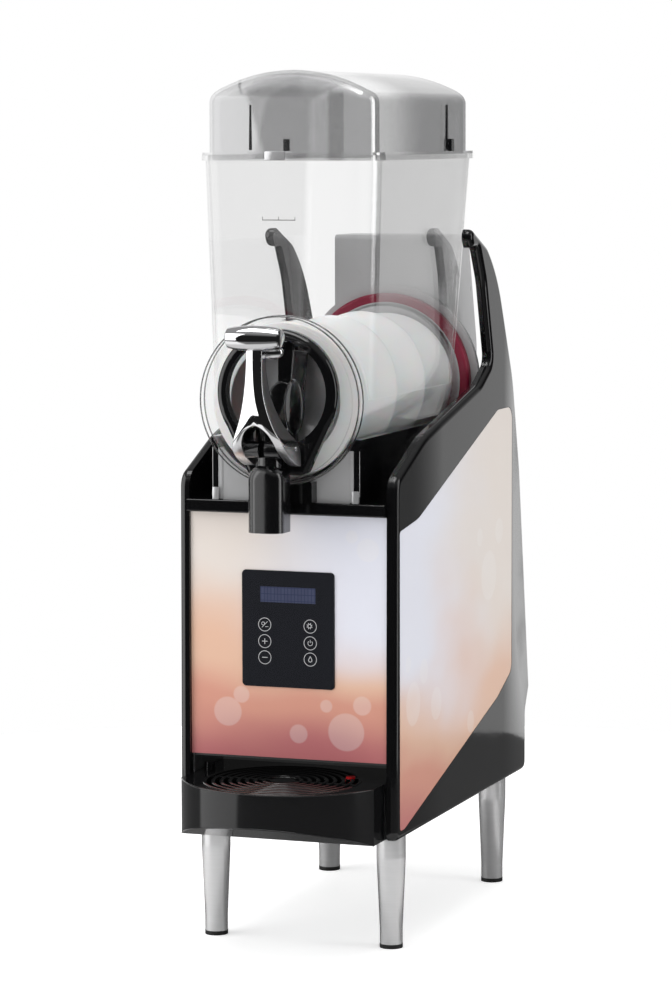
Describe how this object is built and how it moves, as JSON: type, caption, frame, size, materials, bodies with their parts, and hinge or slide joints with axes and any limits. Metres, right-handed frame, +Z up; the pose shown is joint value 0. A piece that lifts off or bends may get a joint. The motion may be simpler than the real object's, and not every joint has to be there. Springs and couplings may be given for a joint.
{
  "type": "cold drink dispenser",
  "caption": "Counter-top cold coffee dispenser: a clear lidded bowl with a spiral auger over a cooling cylinder, a lever tap, a drip tray and a picture-panelled casing on slim legs.",
  "frame": {"origin": "on the counter top, under the centre of the bounding box", "axes": "+Z up, the tap and front panel face -Y, +X to the viewer's right when facing the front"},
  "size_m": [0.22, 0.5297, 0.8345],
  "materials": {
    "black_gloss": "high gloss black",
    "picture_sheet": "printed in soft peach and rose under gloss",
    "zinc_steel": "grey, satin",
    "touch_glass": "black glass over the display",
    "display": "dark blue display",
    "circuit_board": "green board",
    "black_steel": "black, satin",
    "black_matte": "black, satin",
    "grey_plastic": "smoke grey",
    "clear_plastic": "clear, gloss",
    "stainless": "brushed",
    "red_rubber": "red, satin",
    "black_rubber": "black, matt",
    "white_plastic": "white, soft gloss",
    "cast_housing": "cast, grey",
    "chrome": "bright chrome",
    "red_plastic": "red",
    "aluminium": "plain",
    "copper": "copper tube",
    "brushed_leg": "brushed"
  },
  "bodies": {
    "housing": {"side_shell_right": "black_gloss", "side_shell_left": "black_gloss", "side_panel_right": "picture_sheet", "side_panel_left": "picture_sheet", "chassis_tub": "zinc_steel", "front_panel": "picture_sheet", "control_glass": "touch_glass", "display_module": "display", "control_board": "circuit_board", "trim_bar": "black_gloss", "deck_plate": "black_steel", "rear_panel": "black_steel", "bowl_cradle": "black_matte", "cradle_plate": "grey_plastic", "bowl_stop": "black_gloss", "evaporator": "stainless", "bowl_seat": "black_matte", "bowl_gasket": "red_rubber", "shaft_seal": "black_rubber", "motor_tower": "black_gloss", "gear_motor": "cast_housing", "tray_recess": "black_matte", "compressor": "black_steel", "condenser": "aluminium", "fan_shroud": "zinc_steel", "fan_motor": "cast_housing", "refrigerant_pipes": "copper", "power_board": "circuit_board", "power_inlet": "black_matte", "rear_screws": "stainless", "leg_front_left": "brushed_leg", "leg_front_right": "brushed_leg", "leg_rear_left": "brushed_leg", "leg_rear_right": "brushed_leg"},
    "bowl": {"bowl": "clear_plastic", "tap_bezel": "black_gloss", "tap_body": "black_gloss", "hinge_pins": "stainless", "tap_cap": "black_gloss", "tap_spring": "stainless"},
    "lid": {"lid": "clear_plastic", "lid_clips": "black_matte"},
    "lever": {"tap_lever": "chrome"},
    "piston": {"tap_piston": "white_plastic"},
    "auger": {"auger": "white_plastic", "auger_arm": "black_matte", "drive_shaft": "stainless", "hub_nut": "black_gloss"},
    "drip_tray": {"drip_tray": "black_gloss"},
    "drip_grille": {"drip_grille": "black_gloss"},
    "float": {"float_indicator": "red_plastic"},
    "fan": {"fan": "black_matte"},
    "foot_front_left": {"foot_front_left": "brushed_leg", "pad_front_left": "black_rubber"},
    "foot_front_right": {"foot_front_right": "brushed_leg", "pad_front_right": "black_rubber"},
    "foot_rear_left": {"foot_rear_left": "brushed_leg", "pad_rear_left": "black_rubber"},
    "foot_rear_right": {"foot_rear_right": "brushed_leg", "pad_rear_right": "black_rubber"}
  },
  "joints": [
    {"name": "bowl_slide", "type": "slide", "parent": "housing", "child": "bowl", "axis": [0, -1, 0], "range_m": [0, 0.305]},
    {"name": "lid_lift", "type": "slide", "parent": "bowl", "child": "lid", "axis": [0, 0, 1], "range_m": [0, 0.08]},
    {"name": "lever_swing", "type": "hinge", "parent": "bowl", "child": "lever", "pos_m": [0, -0.228, 0.484], "axis": [1, 0, 0], "range_deg": [0, 35], "stiffness_Nm_per_rad": 1, "springref_deg": -20.05},
    {"name": "piston_lift", "type": "slide", "parent": "bowl", "child": "piston", "axis": [0, 0, 1], "range_m": [0, 0.0081], "deforming": ["tap_spring"]},
    {"name": "auger_spin", "type": "hinge", "parent": "housing", "child": "auger", "pos_m": [0, 0, 0.526], "axis": [0, 1, 0], "continuous": true},
    {"name": "tray_slide", "type": "slide", "parent": "housing", "child": "drip_tray", "axis": [0, -1, 0], "range_m": [0, 0.17]},
    {"name": "grille_lift", "type": "slide", "parent": "drip_tray", "child": "drip_grille", "axis": [0, 0, 1], "range_m": [0, 0.006]},
    {"name": "float_rise", "type": "slide", "parent": "drip_grille", "child": "float", "axis": [0, 0, 1], "range_m": [0, 0.008]},
    {"name": "fan_spin", "type": "hinge", "parent": "housing", "child": "fan", "pos_m": [0, 0.17, 0.2055], "axis": [0, 1, 0], "continuous": true},
    {"name": "foot_screw_front_left", "type": "slide", "parent": "housing", "child": "foot_front_left", "axis": [0, 0, -1], "range_m": [0, 0.015]},
    {"name": "foot_screw_front_right", "type": "slide", "parent": "housing", "child": "foot_front_right", "axis": [0, 0, -1], "range_m": [0, 0.015]},
    {"name": "foot_screw_rear_left", "type": "slide", "parent": "housing", "child": "foot_rear_left", "axis": [0, 0, -1], "range_m": [0, 0.015]},
    {"name": "foot_screw_rear_right", "type": "slide", "parent": "housing", "child": "foot_rear_right", "axis": [0, 0, -1], "range_m": [0, 0.015]}
  ],
  "couplings": [
    {"joint": "piston_lift", "follows": "lever_swing", "m_per_rad": 0.01314}
  ]
}
